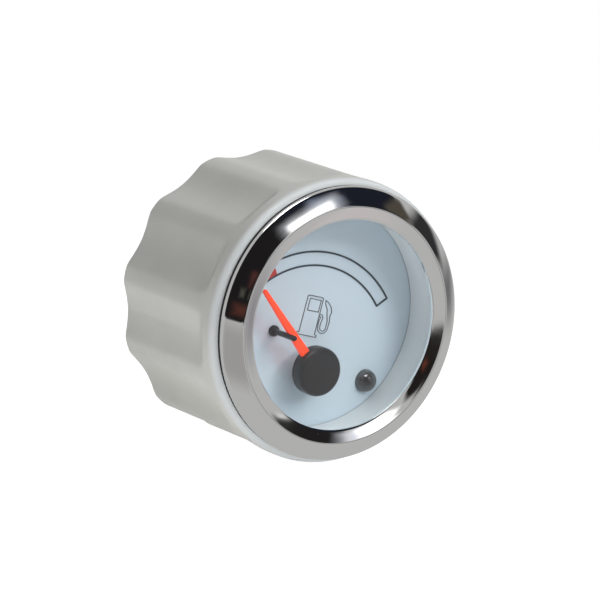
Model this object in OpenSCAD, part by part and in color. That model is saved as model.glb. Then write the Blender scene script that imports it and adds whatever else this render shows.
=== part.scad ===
// Round dashboard fuel gauge for a 52 mm panel hole.
// The shapes below are drawn with z pointing forward, out of the dial, x to the right and y up.
// z = 0 is the plane of the panel's front face, where the gasket seats.
// upright() turns them so that the finished gauge looks along -Y with its 12 o'clock mark at +Z.

/* [Case] */
// Diameter of the case, which fills the panel hole
case_d = 52; // [51:0.5:53]
// Depth of the case behind the panel
case_depth = 36; // [35.5:0.5:40]
// Wall of the case around the dial
case_wall = 1.4; // [1.3:0.1:1.6]
// Wall of the case around the lens
mouth_wall = 0.8; // [0.7:0.05:1]
// Extra wall behind the dial, which makes the shelf that the light guide rests on
shelf_w = 1; // [0.8:0.1:1.1]
// Thickness of the case's back
case_back_t = 2.4; // [2:0.2:2.6]
// Pitch of the thread on the case
thread_pitch = 3; // [2:0.5:4]
// Depth of the thread's grooves
thread_depth = 0.4; // [0.2:0.1:0.6]

/* [Bezel] */
// How far the bezel reaches past the case
bezel_reach = 3; // [2.8:0.1:3.8]
// Distance of the bezel's ridge from its edge
ridge_in = 4; // [3.4:0.1:4.6]
// Distance between the ridge and the opening inside it
lip_w = 2.8; // [2:0.1:3]
// Height of the ridge in front of the panel
bezel_h = 3.8; // [3.6:0.1:4.4]
// Height of the bezel's skirt in front of the panel
bezel_skirt_h = 1.5; // [1.5:0.1:1.9]
// How far the inner edge lies behind the ridge
bezel_dish = 0.8; // [0.7:0.1:1.3]
// Thickness of the bezel's sheet
bezel_t = 0.5; // [0.4:0.05:0.6]
// Radius of the rounded ridge
ridge_round = 0.7; // [0.3:0.1:1]

/* [Lens and seals] */
// Thickness of the lens
lens_t = 2; // [1.6:0.1:2.4]
// Thickness of the lens seal
seal_t = 0.6; // [0.4:0.1:0.8]
// Thickness of the gasket between bezel and panel
gasket_t = 0.7; // [0.5:0.1:0.7]
// Width of the gasket
gasket_w = 2.8; // [2:0.1:2.8]

/* [Clamp nut] */
// How far the nut stands out past the case
nut_reach = 4.2; // [3.6:0.1:6]
// Length of the nut
nut_len = 36.4; // [30:0.5:40]
// Radius of the nut's front corner
nut_round = 2.2; // [1:0.1:2.4]
// Number of flutes
flutes = 12; // [8:1:16]
// Degrees that the flutes are turned from 12 o'clock
flute_turn = 3.75; // [0:0.25:15]
// Depth of a flute
flute_depth = 1.4; // [0.8:0.1:1.6]
// Radius of the cutter that makes the flutes
flute_r = 28; // [16:1:40]
// Length of the smooth rim in front of the flutes
nut_rim = 4.4; // [3:0.2:8]
// Length over which a flute runs out into the rim
flute_runout = 2.5; // [2:0.5:6]
// How far the slip washer under the nut reaches past the case
slip_reach = 1.6; // [1.2:0.1:1.6]
// Thickness of the slip washer
slip_t = 1.2; // [0.8:0.1:1.6]

/* [Dial] */
// Depth of the dial's face behind the panel's front face
dial_depth = 8.4; // [8:0.1:9]
// Thickness of the dial
dial_t = 0.8; // [0.5:0.1:1.2]
// Width of the ring that covers the edge of the dial
ring_w = 0.8; // [0.5:0.1:1.2]
// Thickness of the clear light guide behind the dial
guide_t = 3; // [2.4:0.2:3.2]
// Distance of the scale's centre below the middle of the dial
scale_drop = 10.2; // [9.5:0.1:11]
// Radius of the scale's outer line
scale_out_r = 23.5; // [22.5:0.1:24]
// Radius of the scale's inner line
scale_in_r = 20.6; // [19.5:0.1:21]
// Half of the angle that the scale spans
scale_half_deg = 44.8; // [40:0.2:48]
// Angle of the red reserve field at the empty end
reserve_deg = 8.8; // [6:0.2:14]
// Width of the scale's lines
line_w = 0.4; // [0.2:0.05:0.6]
// Width of the lines of the pump symbol
symbol_line_w = 0.2; // [0.1:0.05:0.3]
// Thickness of the printed marks
print_t = 0.1; // [0.05:0.05:0.2]

/* [Pointer] */
// Distance of the pointer's pivot below the middle of the dial
pivot_drop = 11; // [10.6:0.1:11.2]
// Angle of the resting pointer, left of 12 o'clock
pointer_rest_deg = 51.4; // [46:0.2:54]
// Length of the pointer from its pivot
pointer_len = 22.6; // [16:0.2:22.6]
// Width of the pointer at the hub
pointer_root_w = 2.3; // [1.8:0.1:2.8]
// Width of the pointer at its tip
pointer_tip_w = 0.9; // [0.5:0.1:1.4]
// Thickness of the pointer
pointer_t = 1.3; // [0.8:0.1:1.4]
// Height of the pointer's underside above the dial
pointer_h = 4.4; // [4.3:0.1:4.5]
// Diameter of the hub cap
cap_d = 10.4; // [9:0.1:11]
// Height of the hub cap's top above the dial
cap_top_h = 7; // [6.8:0.1:7.6]
// Height of the hub cap's wall
cap_h = 3.2; // [3.1:0.1:3.4]
// Thickness of the hub cap's wall and top
cap_wall = 0.7; // [0.5:0.1:0.9]
// Diameter of the spindle
spindle_d = 1; // [0.8:0.1:1.2]
// Distance of the stop pin from the pivot
stop_reach = 11.3; // [10:0.1:12]
// Diameter of the stop pin
stop_d = 0.9; // [0.7:0.1:1.2]
// Height of the stop pin above the dial
stop_h = 8.4; // [7.4:0.1:8.5]
// Diameter of the collar round the stop pin
collar_d = 2.3; // [1.8:0.1:3]

/* [Warning light] */
// Distance of the warning light's middle from the ring round the dial
led_in = 3.6; // [3.2:0.1:4]
// Angle of the warning light below 3 o'clock
led_deg = 34.9; // [33:0.1:37]
// Diameter of the warning light
led_d = 4.9; // [4.5:0.1:5]
// How far the warning light stands out of the dial
led_proud = 2.5; // [2:0.1:2.8]
// Distance between the leads of the warning light
led_lead_gap = 2.54; // [2:0.02:3]
// Diameter of a lead
led_lead_d = 0.5; // [0.4:0.05:0.6]

/* [Movement] */
// Outer diameter of the shield can
shield_d = 25; // [24.6:0.1:25]
// Thickness of the shield's sheet
shield_t = 0.7; // [0.5:0.1:0.8]
// Side of the square bobbin
bobbin_w = 17; // [16.4:0.2:17]
// Height of one half of the bobbin
bobbin_h = 6.4; // [6:0.1:6.6]
// Thickness of a coil
coil_t = 1.1; // [0.8:0.1:1.1]
// Width of one half of a coil
coil_w = 3.4; // [2.8:0.1:3.4]
// Diameter of the magnet rotor
rotor_d = 12; // [10:0.5:12.4]
// Thickness of the magnet rotor
rotor_t = 3.6; // [2.8:0.2:4]
// Diameter of the bushes that carry the spindle
bush_d = 3.4; // [3:0.1:3.6]
// Length of a bush
bush_len = 3.6; // [3:0.2:4]
// Diameter of a pillar between light guide and circuit board
pillar_d = 4; // [3.6:0.1:4.2]
// Distance of the pillars' middles from the inside of the case
pillar_in = 3.6; // [3.4:0.1:3.8]

/* [Circuit board] */
// Gap between the circuit board and the case
board_gap = 0.4; // [0.3:0.1:0.8]
// Thickness of the circuit board
board_t = 1.6; // [1:0.1:1.6]
// Diameter of a screw's thread
screw_d = 1.8; // [1.6:0.1:2]
// Diameter of a screw's head
screw_head_d = 4; // [3.6:0.1:4.4]
// Height of a screw's head
screw_head_h = 0.9; // [0.5:0.1:0.9]

/* [Terminals] */
// Diameter of the free end of a terminal stud
stud_d = 4; // [4:0.5:5]
// Length of the studs behind the case
stud_len = 12; // [10:0.5:16]
// Distance of the outer studs from the middle, sideways
stud_x = 14.5; // [13.5:0.1:15]
// Distance of the outer studs below the middle
stud_drop = 4; // [3:0.2:5]
// Distance of the middle stud below the middle
stud_low_drop = 16; // [15:0.2:17]
// Diameter of the insulating bush in the case's back
insulator_d = 6; // [5.6:0.1:6.4]
// Diameter of the insulator's flange
insulator_flange_d = 10; // [9:0.2:10]
// Thickness of the insulator's flange
insulator_flange_t = 1.4; // [1:0.1:2]
// Diameter of a terminal washer
washer_d = 9; // [8:0.2:9]
// Thickness of a terminal washer
washer_t = 0.6; // [0.4:0.1:1]
// Width over the flats of a terminal nut
hex_w = 7; // [7:0.1:8]
// Thickness of a terminal nut
hex_t = 3.2; // [2.4:0.1:3.6]

/* [Lamp] */
// Distance of the lamp above the middle of the case
lamp_rise = 9.5; // [9.2:0.1:9.8]
// Diameter of the lamp holder's barrel
holder_d = 10; // [9.6:0.1:10]
// Diameter of the lamp holder's flange
holder_flange_d = 14; // [13:0.2:14]
// Thickness of the lamp holder's flange
holder_flange_t = 1.4; // [1:0.1:2]
// Length of the barrel inside the case
holder_len = 6; // [5:0.2:7]
// Reach of the bayonet lugs from the barrel's axis
lug_reach = 6.4; // [6:0.1:6.4]
// Width of a bayonet lug
lug_w = 2.6; // [2:0.1:3]
// Angle between the lugs and the slots that let them out
lug_turn = 60; // [45:5:75]
// Diameter of the bulb
bulb_d = 4.8; // [4:0.1:5]
// Length of the bulb
bulb_len = 14; // [10:0.5:15]

/* [Clearances] */
// Gap between the clamp nut's bore and the case
nut_gap = 0.3; // [0.2:0.05:0.4]
// Gap between the slip washer and the case
slip_gap = 0.1; // [0.05:0.05:0.2]
// Gap round pieces that are laid into the case
lay_gap = 0.1; // [0.05:0.05:0.15]
// Gap between turning pieces and their seats
run_gap = 0.05; // [0.03:0.01:0.08]

/* [Hidden] */
$fn = 96;
eps = 0.01;                                    // lets a cut run past a face
small_fn = 32;                                 // fineness of small round pieces
mid_fn = 64;

shell_color = [0.78, 0.80, 0.76];
dial_color = [0.80, 0.85, 0.90];
chrome_color = [0.75, 0.77, 0.80];
black_color = [0.08, 0.08, 0.09];
brass_color = [0.80, 0.65, 0.35];

case_r = case_d / 2;
case_in_r = case_r - case_wall;
mouth_r = case_r - mouth_wall;
bezel_r = case_r + bezel_reach;
ridge_r = bezel_r - ridge_in;
bezel_bore_r = ridge_r - lip_w;
lip_z = bezel_h - bezel_dish;                  // front of the bezel's inner edge
crimp_z = gasket_t + bezel_t;                  // front of the sheet that is rolled behind the case
crimp_w = 2;
lens_z = lip_z - bezel_t - lay_gap;            // front of the lens
lens_r = mouth_r - lay_gap;
seal_z = lens_z - lens_t;                      // front of the lens seal
mouth_z = seal_z - seal_t;                     // floor of the lens's rebate
flange_r = bezel_r - bezel_t - 0.6;            // rim of the case, inside the bezel
flange_t = 0.3;
dial_z = -dial_depth;
ring_in_r = case_in_r - lay_gap - ring_w;
guide_z = dial_z - dial_t;                     // front of the light guide
shelf_z = guide_z - guide_t;                   // back of the light guide
pocket_r = case_in_r - shelf_w;                // inside of the case behind the dial
plate_r = case_in_r - lay_gap;                 // radius of the dial and the light guide
pillar_reach = pocket_r - pillar_in;
board_r = pocket_r - board_gap;
led_x = (ring_in_r - led_in) * cos(led_deg);
led_drop = (ring_in_r - led_in) * sin(led_deg);

coil_gap = 0.1;
bobbin_gap = 0.05;                             // half of the gap between the bobbin's halves
coil_stack = 2 * (coil_gap + coil_t);          // both coils over the bobbin's end
movement_h = bobbin_h + coil_stack;            // half of the movement's height
boss_gap = 0.2;
movement_z = shelf_z - boss_gap - movement_h;  // middle of the magnet rotor
shield_z = movement_z - movement_h - boss_gap / 2;
board_z = shield_z - shield_t;                 // front of the circuit board
board_back_z = board_z - board_t;
case_back_z = -case_depth;
floor_z = case_back_z + case_back_t;           // inner face of the case's back
shield_r = shield_d / 2;
boss_r = bush_d / 2 + 0.9;
coil_from = boss_r + 0.3;                      // where a half coil starts, beside the boss
rotor_room = 0.6;                              // free space round the magnet rotor
spindle_r = spindle_d / 2;
bore_r = spindle_r + run_gap;

pivot_y = -pivot_drop;
pointer_z = dial_z + pointer_h;
cap_z = dial_z + cap_top_h;
spindle_tip_z = cap_z - cap_wall;
pointer_ring_r = 2.4;
stop_half_w = (pointer_root_w + (pointer_tip_w - pointer_root_w) * stop_reach / pointer_len) / 2;
stop_deg = pointer_rest_deg + asin((stop_half_w + stop_d / 2 + run_gap) / stop_reach);
stop_hold = 1.5;                               // depth that the stop pin is let into the light guide

stud_spots = [[-stud_x, -stud_drop], [stud_x, -stud_drop], [0, -stud_low_drop]];
shank_r = stud_d / 2 - 0.4;                    // core of the stud's thread, inside the nut
shank_bore_r = shank_r + run_gap;
neck_r = stud_d / 2 + 0.4;                     // neck of the stud, inside insulator and washer
neck_bore_r = neck_r + run_gap;
stud_head_r = insulator_d / 2 + 0.8;
flange_back_z = case_back_z - insulator_flange_t;
washer_back_z = flange_back_z - washer_t;
hex_back_z = washer_back_z - hex_t;
stud_tip_z = case_back_z - stud_len;
stud_chamfer = 0.4;

pillar_degs = [20, 90, 160];
pillar_bore_len = 7;
screw_len = 6;
spigot_r = 1;
spigot_len = 1.5;
rest_degs = [60, 200, 340];                    // posts that the circuit board rests on
rest_r = 1.5;
rest_reach = pocket_r - rest_r - 0.6;
lamp_hole_r = holder_d / 2 + 0.1;
lug_slot_r = lug_reach + 0.2;
lug_slot_w = lug_w + 0.4;
lug_t = 1;
lug_z = floor_z + run_gap;
board_lamp_r = lug_reach + 0.5;
bulb_r = bulb_d / 2;
bulb_seat = 1.6;                               // solid floor of the barrel under the bulb
bulb_z = case_back_z + bulb_seat;

nut_r = case_r + nut_reach;
nut_face_gap = 0.1;
nut_front_z = -nut_face_gap;
nut_back_z = nut_front_z - nut_len;
nut_bore_r = case_r + nut_gap;
slip_r = case_r + slip_reach;
slip_pocket_r = slip_r + slip_gap;
cutter_axis = nut_r - flute_depth + flute_r;

chip_size = [8, 6, 2.4];
chip_spot = [-12, 6];
capacitor_r = 2.5;
capacitor_h = 6;
capacitor_spot = [11.5, 3.5];
resistor_r = 1.2;
resistor_len = 7;
resistor_spot = [9.5, 13.5];

// Turns what is drawn with z forward so that it looks along -Y with y up
module upright() {
    rotate([90, 0, 0]) children();
}

// Solid disc between two heights
module disc(r, low, high, fineness = $fn) {
    translate([0, 0, low]) cylinder(h = high - low, r = r, $fn = fineness);
}

// Ring between two heights
module ring(outer, inner, low, high, fineness = $fn) {
    translate([0, 0, low]) difference() {
        cylinder(h = high - low, r = outer, $fn = fineness);
        translate([0, 0, -eps]) cylinder(h = high - low + 2 * eps, r = inner, $fn = fineness);
    }
}

// Copies a piece to each place in a list
module at_each(spots, z = 0) {
    for (spot = spots) translate([spot[0], spot[1], z]) children();
}

// Copies a piece round the case's axis
module round_case(degs, reach) {
    for (deg = degs) rotate([0, 0, deg]) translate([reach, 0, 0]) children();
}

// Points of an arc
function arc(cx, cy, r, from, to, steps) =
    [for (i = [0:steps]) let (a = from + (to - from) * i / steps) [cx + r * cos(a), cy + r * sin(a)]];

// One line of a print with round ends
module stroke(p, q, w) {
    d = q - p;
    translate(p) rotate(atan2(d[1], d[0])) translate([0, -w / 2]) square([norm(d), w]);
    translate(p) circle(d = w, $fn = 16);
    translate(q) circle(d = w, $fn = 16);
}

module polyline(points, w) {
    for (i = [0:len(points) - 2]) stroke(points[i], points[i + 1], w);
}

module case() {
    color(shell_color) upright() difference() {
        union() {
            disc(case_r, case_back_z, lens_z);
            disc(flange_r, crimp_z, crimp_z + flange_t);
        }
        disc(mouth_r, mouth_z, lens_z + eps);
        disc(case_in_r, shelf_z, mouth_z + eps);
        difference() {
            disc(pocket_r, floor_z, shelf_z + eps);
            round_case(rest_degs, rest_reach) disc(rest_r, floor_z - eps, board_back_z, small_fn);
        }
        thread_grooves();
        at_each(stud_spots) disc(insulator_d / 2 + run_gap, case_back_z - eps, floor_z + eps, small_fn);
        translate([0, lamp_rise, 0]) {
            disc(lamp_hole_r, case_back_z - eps, floor_z + eps, mid_fn);
            rotate([0, 0, lug_turn]) translate([-lug_slot_r, -lug_slot_w / 2, case_back_z - eps])
                cube([2 * lug_slot_r, lug_slot_w, case_back_t + 2 * eps]);
        }
    }
}

// The thread is drawn as closed grooves at its pitch
module thread_grooves() {
    groove_margin = 3;
    count = floor((case_depth - 2 * groove_margin) / thread_pitch);
    for (i = [0:count]) translate([0, 0, -groove_margin - i * thread_pitch])
        rotate_extrude() polygon([
            [case_r + eps, thread_depth + 0.3], [case_r - thread_depth, 0.2],
            [case_r - thread_depth, -0.2], [case_r + eps, -thread_depth - 0.3]]);
}

module bezel() {
    out_deg = atan((bezel_h - bezel_skirt_h) / (bezel_r - ridge_r));
    in_deg = atan(bezel_dish / (ridge_r - bezel_bore_r));
    skirt_in_r = bezel_r - bezel_t;
    lip_in_r = bezel_bore_r + bezel_t;
    outside = concat(
        [[skirt_in_r - crimp_w + bezel_t, gasket_t], [bezel_r, gasket_t], [bezel_r, bezel_skirt_h]],
        arc(ridge_r, bezel_h - ridge_round, ridge_round, 90 - out_deg, 90 + in_deg, 6),
        [[bezel_bore_r, lip_z], [bezel_bore_r, lens_z]]);
    inside = [
        [lip_in_r, lens_z],
        [lip_in_r, lip_z + bezel_t * tan(in_deg) - bezel_t / cos(in_deg)],
        [ridge_r, bezel_h - bezel_t / cos(in_deg) - 0.1],
        [skirt_in_r, max(crimp_z + eps, bezel_skirt_h + bezel_t * tan(out_deg) - bezel_t / cos(out_deg))],
        [skirt_in_r, crimp_z], [skirt_in_r - crimp_w + bezel_t, crimp_z]];
    color(chrome_color) upright() rotate_extrude() polygon(concat(outside, inside));
}

module lens() {
    color([0.85, 0.92, 0.95, 0.3]) upright() disc(lens_r, seal_z, lens_z);
}

module lens_seal() {
    color(black_color) upright() ring(lens_r, ring_in_r, mouth_z, seal_z);
}

module panel_gasket() {
    gasket_in_r = case_r + lay_gap;
    color(black_color) upright() ring(gasket_in_r + gasket_w, gasket_in_r, 0, gasket_t);
}

module clamp_nut() {
    profile = concat(
        [[nut_bore_r, nut_back_z], [nut_r - 0.6, nut_back_z], [nut_r, nut_back_z + 0.6]],
        arc(nut_r - nut_round, nut_front_z - nut_round, nut_round, 0, 90, 8),
        [[slip_pocket_r, nut_front_z], [slip_pocket_r, nut_front_z - slip_t - run_gap],
         [nut_bore_r, nut_front_z - slip_t - run_gap]]);
    color(shell_color) upright() difference() {
        rotate_extrude() polygon(profile);
        for (i = [0:flutes - 1]) rotate([0, 0, 90 + flute_turn + (i + 0.5) * 360 / flutes]) translate([cutter_axis, 0, 0])
            flute_cutter();
    }
}

// A long round cutter whose front end tapers, so that the flute runs out into the rim
module flute_cutter() {
    full_z = nut_front_z - nut_rim - flute_runout;
    disc(flute_r, nut_back_z - 1, full_z);
    translate([0, 0, full_z]) cylinder(h = flute_runout * 1.1, r1 = flute_r, r2 = flute_r - flute_depth * 1.1);
}

module slip_washer() {
    color(black_color) upright() ring(slip_r, case_r + slip_gap, nut_front_z - slip_t, nut_front_z);
}

module inner_ring() {
    color(dial_color) upright() ring(plate_r, ring_in_r, dial_z, mouth_z);
}

module dial() {
    color(dial_color) upright() difference() {
        disc(plate_r, guide_z, dial_z);
        dial_holes(guide_z, dial_z);
    }
}

// Openings that dial and light guide share
module dial_holes(low, high) {
    translate([0, pivot_y, 0]) disc(spindle_r + 1, low - eps, high + eps, small_fn);
    translate([led_x, -led_drop, 0]) disc(led_d / 2 + run_gap, low - eps, high + eps, small_fn);
    stop_spot() disc(stop_d / 2 + 0.02, max(low - eps, guide_z - stop_hold), high + eps, small_fn);
}

// Puts a piece where the stop pin stands
module stop_spot() {
    translate([0, pivot_y, 0]) rotate([0, 0, stop_deg]) translate([0, stop_reach, 0]) children();
}

// Sector of a circle about the scale's centre, from one angle to another, clockwise from 12 o'clock
module sector(r, from, to) {
    steps = 12;
    polygon(concat([[0, 0]],
        [for (i = [0:steps]) let (a = from + (to - from) * i / steps) [r * sin(a), r * cos(a)]]));
}

module scale_line(r) {
    intersection() {
        difference() {
            circle(r = r + line_w / 2);
            circle(r = r - line_w / 2);
        }
        sector(2 * r, -scale_half_deg, scale_half_deg);
    }
}

module on_scale() {
    upright() translate([0, -scale_drop, dial_z]) linear_extrude(print_t) children();
}

module scale_print() {
    color([0.24, 0.28, 0.32]) on_scale() {
        scale_line(scale_out_r);
        scale_line(scale_in_r);
        for (side = [-1, 1]) rotate(-side * scale_half_deg)
            stroke([0, scale_in_r], [0, scale_out_r], line_w);
    }
}

module reserve_print() {
    edge = line_w / 2 + 0.02;
    color([0.80, 0.15, 0.13]) on_scale() intersection() {
        difference() {
            circle(r = scale_out_r - edge);
            circle(r = scale_in_r + edge);
        }
        sector(2 * scale_out_r, -scale_half_deg + 0.6, -scale_half_deg + reserve_deg);
    }
}

// The usual outline symbol of a fuel pump, drawn about the middle of the dial
module pump_print() {
    left = -3.2;
    right = 0.8;
    foot = -4.1;
    top = 3.8;
    corner = 0.4;
    window = [[-2.5, 3.15], [0.35, 3.15], [0.35, 0.65], [-2.5, 0.65], [-2.5, 3.15]];
    body = concat(
        [[left, foot]], arc(left + corner, top - corner, corner, 180, 90, 4),
        arc(right - corner, top - corner, corner, 90, 0, 4), [[right, foot]],
        [[right + 0.5, foot - 0.1], [right + 0.5, foot - 0.55], [left - 0.5, foot - 0.55],
         [left - 0.5, foot - 0.1], [left, foot]]);
    hose_inner = concat(
        [[right, 0.4], [1.6, 0.15], [1.85, -0.5], [1.65, -1.4]], arc(2.4, -2.35, 0.75, 180, 360, 6),
        [[3.15, -1], [2.6, 0.7], [2.4, 1.6], [1.7, 2.5], [1.5, 3.4]]);
    hose_outer = concat(
        [[right, 0], [1.25, -0.4], [1.05, -1.4]], arc(2.4, -2.35, 1.25, 180, 360, 8),
        [[3.7, -0.6], [3.45, 0.3], [3.7, 1.1], [3.3, 2.1], [2.4, 3], [1.5, 3.4]]);
    color([0.36, 0.39, 0.42]) upright() translate([0, 0, dial_z]) linear_extrude(print_t) {
        polyline(body, symbol_line_w);
        polyline(window, symbol_line_w);
        polyline(hose_inner, symbol_line_w);
        polyline(hose_outer, symbol_line_w);
    }
}

module light_guide() {
    color([0.9, 0.93, 0.95, 0.6]) upright() difference() {
        disc(plate_r, shelf_z, guide_z);
        dial_holes(shelf_z, guide_z);
        round_case(pillar_degs, pillar_reach) disc(spigot_r, shelf_z - eps, shelf_z + spigot_len, small_fn);
    }
}

module stop_pin() {
    color(black_color) upright() stop_spot() disc(stop_d / 2, guide_z - stop_hold, dial_z + stop_h, small_fn);
}

module stop_collar() {
    collar_h = 0.8;
    color(black_color) upright() stop_spot() ring(collar_d / 2, stop_d / 2 + 0.02, dial_z, dial_z + collar_h, small_fn);
}

module low_fuel_light() {
    led_r = led_d / 2;
    dome_z = dial_z + led_proud - led_r;
    color([0.12, 0.11, 0.11]) upright() translate([led_x, -led_drop, 0]) {
        disc(led_r, shelf_z + 0.8, dome_z, small_fn);
        intersection() {
            translate([0, 0, dome_z]) sphere(r = led_r, $fn = 48);
            disc(led_r + 1, dome_z - eps, dome_z + led_r + 1, small_fn);
        }
    }
}

// Both leads run straight from the warning light through the circuit board
module light_leads() {
    color(chrome_color) upright() for (side = [-1, 1])
        translate([led_x + side * led_lead_gap / 2, -led_drop, 0])
            disc(led_lead_d / 2, board_back_z - 0.3, shelf_z + 0.8, 16);
}

module pointer() {
    root = pointer_root_w / 2;
    tip = pointer_tip_w / 2;
    color([1, 0.35, 0.22]) upright() translate([0, pivot_y, pointer_z]) rotate([0, 0, pointer_rest_deg])
        linear_extrude(pointer_t) difference() {
            union() {
                circle(r = pointer_ring_r, $fn = small_fn);
                polygon([[-root, 0], [root, 0], [tip, pointer_len - tip], [tip * 0.4, pointer_len],
                    [-tip * 0.4, pointer_len], [-tip, pointer_len - tip]]);
            }
            circle(r = spindle_r, $fn = small_fn);
        }
}

module hub_cap() {
    cap_r = cap_d / 2;
    low_z = cap_z - cap_h;
    notch_w = pointer_root_w + 2 * lay_gap;
    notch_top = pointer_z + pointer_t + lay_gap;
    color([0.16, 0.16, 0.17]) upright() translate([0, pivot_y, 0]) {
        difference() {
            disc(cap_r, low_z, cap_z, mid_fn);
            disc(cap_r - cap_wall, low_z - eps, cap_z - cap_wall, mid_fn);
            rotate([0, 0, pointer_rest_deg]) translate([-notch_w / 2, 0, low_z - eps])
                cube([notch_w, cap_r + 1, notch_top - low_z + eps]);
        }
        ring(spindle_r + 1, spindle_r, notch_top, spindle_tip_z + eps, small_fn);
    }
}

module spindle() {
    color(chrome_color) upright() translate([0, pivot_y, 0])
        disc(spindle_r, movement_z - movement_h + 0.6, spindle_tip_z, small_fn);
}

module magnet_rotor() {
    color([0.3, 0.3, 0.32]) upright() translate([0, pivot_y, 0])
        ring(rotor_d / 2, spindle_r, movement_z - rotor_t / 2, movement_z + rotor_t / 2, mid_fn);
}

module front_bush() {
    color(brass_color) upright() translate([0, pivot_y, 0])
        ring(bush_d / 2, bore_r, shelf_z - bush_len, shelf_z, small_fn);
}

module rear_bush() {
    back = shield_z;
    color(brass_color) upright() translate([0, pivot_y, 0]) difference() {
        disc(bush_d / 2, back, back + bush_len, small_fn);
        disc(bore_r, movement_z - movement_h + 0.5, back + bush_len + eps, small_fn);
    }
}

// Half of the bobbin: a rounded square block with a recess for the rotor and a boss for its bush
module bobbin_half(boss_end) {
    recess_r = rotor_d / 2 + rotor_room;
    recess_h = rotor_t / 2 + rotor_room;
    difference() {
        union() {
            intersection() {
                translate([-bobbin_w / 2, -bobbin_w / 2, bobbin_gap])
                    cube([bobbin_w, bobbin_w, bobbin_h - bobbin_gap]);
                disc(shield_r - shield_t - 0.3, 0, bobbin_h, mid_fn);
            }
            disc(boss_r, bobbin_gap, boss_end, small_fn);
        }
        disc(recess_r, -eps, recess_h, mid_fn);
        disc(spindle_r + 0.4, 0, boss_end + eps, small_fn);
        disc(bush_d / 2, boss_end - bush_len, boss_end + eps, small_fn);
    }
}

module bobbin_front() {
    color([0.85, 0.84, 0.78]) upright() translate([0, pivot_y, movement_z])
        bobbin_half(shelf_z - movement_z);
}

module bobbin_rear() {
    color([0.80, 0.79, 0.73]) upright() translate([0, pivot_y, movement_z]) mirror([0, 0, 1])
        bobbin_half(movement_z - shield_z);
}

// A coil in two halves, one on each side of the boss, wound round the bobbin in the x direction
module coil(inner_h) {
    inner_w = bobbin_w / 2 + coil_gap;
    for (side = [-1, 1]) translate([0, side * (coil_from + coil_w / 2), 0]) difference() {
        cube([2 * (inner_w + coil_t), coil_w, 2 * (inner_h + coil_t)], center = true);
        cube([2 * inner_w, coil_w + 1, 2 * inner_h], center = true);
    }
}

module coil_inner() {
    color([0.72, 0.36, 0.2]) upright() translate([0, pivot_y, movement_z]) coil(bobbin_h + coil_gap);
}

module coil_outer() {
    color([0.78, 0.42, 0.22]) upright() translate([0, pivot_y, movement_z]) rotate([0, 0, 90])
        coil(bobbin_h + 2 * coil_gap + coil_t);
}

module shield_can() {
    color([0.7, 0.72, 0.74]) upright() translate([0, pivot_y, 0]) difference() {
        disc(shield_r, board_z, shelf_z);
        disc(shield_r - shield_t, shield_z, shelf_z + eps);
    }
}

module pillars() {
    color([0.85, 0.84, 0.78]) upright() round_case(pillar_degs, pillar_reach) difference() {
        union() {
            disc(pillar_d / 2, board_z, shelf_z, small_fn);
            disc(spigot_r, shelf_z - eps, shelf_z + spigot_len, small_fn);
        }
        disc(screw_d / 2, board_z - eps, board_z + pillar_bore_len, small_fn);
    }
}

module board_screws() {
    color(chrome_color) upright() round_case(pillar_degs, pillar_reach) difference() {
        union() {
            disc(screw_head_d / 2, board_back_z - screw_head_h, board_back_z, small_fn);
            disc(screw_d / 2, board_back_z - eps, board_z + screw_len, small_fn);
        }
        for (turn = [0, 90]) rotate([0, 0, turn]) translate([-1.2, -0.25, board_back_z - screw_head_h - eps])
            cube([2.4, 0.5, 0.4]);
    }
}

module circuit_board() {
    color([0.1, 0.4, 0.25]) upright() difference() {
        disc(board_r, board_back_z, board_z);
        round_case(pillar_degs, pillar_reach) disc(screw_d / 2 + run_gap, board_back_z - eps, board_z + eps, small_fn);
        translate([0, lamp_rise, 0]) disc(board_lamp_r, board_back_z - eps, board_z + eps, mid_fn);
        for (side = [-1, 1]) translate([led_x + side * led_lead_gap / 2, -led_drop, 0])
            disc(led_lead_d / 2 + 0.05, board_back_z - eps, board_z + eps, 16);
    }
}

module driver_chip() {
    color(black_color) upright() translate([chip_spot[0], chip_spot[1], board_z + chip_size[2] / 2])
        cube(chip_size, center = true);
}

module resistor() {
    color([0.75, 0.65, 0.45]) upright() translate([resistor_spot[0], resistor_spot[1], board_z + resistor_r])
        rotate([0, 90, -35]) translate([0, 0, -resistor_len / 2])
            cylinder(h = resistor_len, r = resistor_r, $fn = small_fn);
}

module capacitor() {
    color([0.15, 0.2, 0.35]) upright() at_each([capacitor_spot]) disc(capacitor_r, board_z, board_z + capacitor_h, small_fn);
}

module terminal_studs() {
    color(brass_color) upright() at_each(stud_spots) {
        disc(stud_head_r, floor_z, board_back_z, small_fn);
        disc(neck_r, washer_back_z + run_gap, floor_z + eps, small_fn);
        disc(shank_r, hex_back_z - eps, washer_back_z + run_gap + eps, small_fn);
        disc(stud_d / 2, stud_tip_z + stud_chamfer, hex_back_z, small_fn);
        translate([0, 0, stud_tip_z])
            cylinder(h = stud_chamfer, r1 = stud_d / 2 - stud_chamfer, r2 = stud_d / 2, $fn = small_fn);
    }
}

module terminal_insulators() {
    color(black_color) upright() at_each(stud_spots) {
        ring(insulator_d / 2, neck_bore_r, case_back_z - eps, floor_z, small_fn);
        ring(insulator_flange_d / 2, neck_bore_r, flange_back_z, case_back_z, small_fn);
    }
}

module terminal_washers() {
    color(brass_color) upright() at_each(stud_spots)
        ring(washer_d / 2, neck_bore_r, washer_back_z, flange_back_z, small_fn);
}

module terminal_nuts() {
    color(brass_color) upright() at_each(stud_spots) difference() {
        disc(hex_w / sqrt(3), hex_back_z, washer_back_z, 6);
        disc(shank_bore_r, hex_back_z - eps, washer_back_z + eps, small_fn);
    }
}

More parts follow.
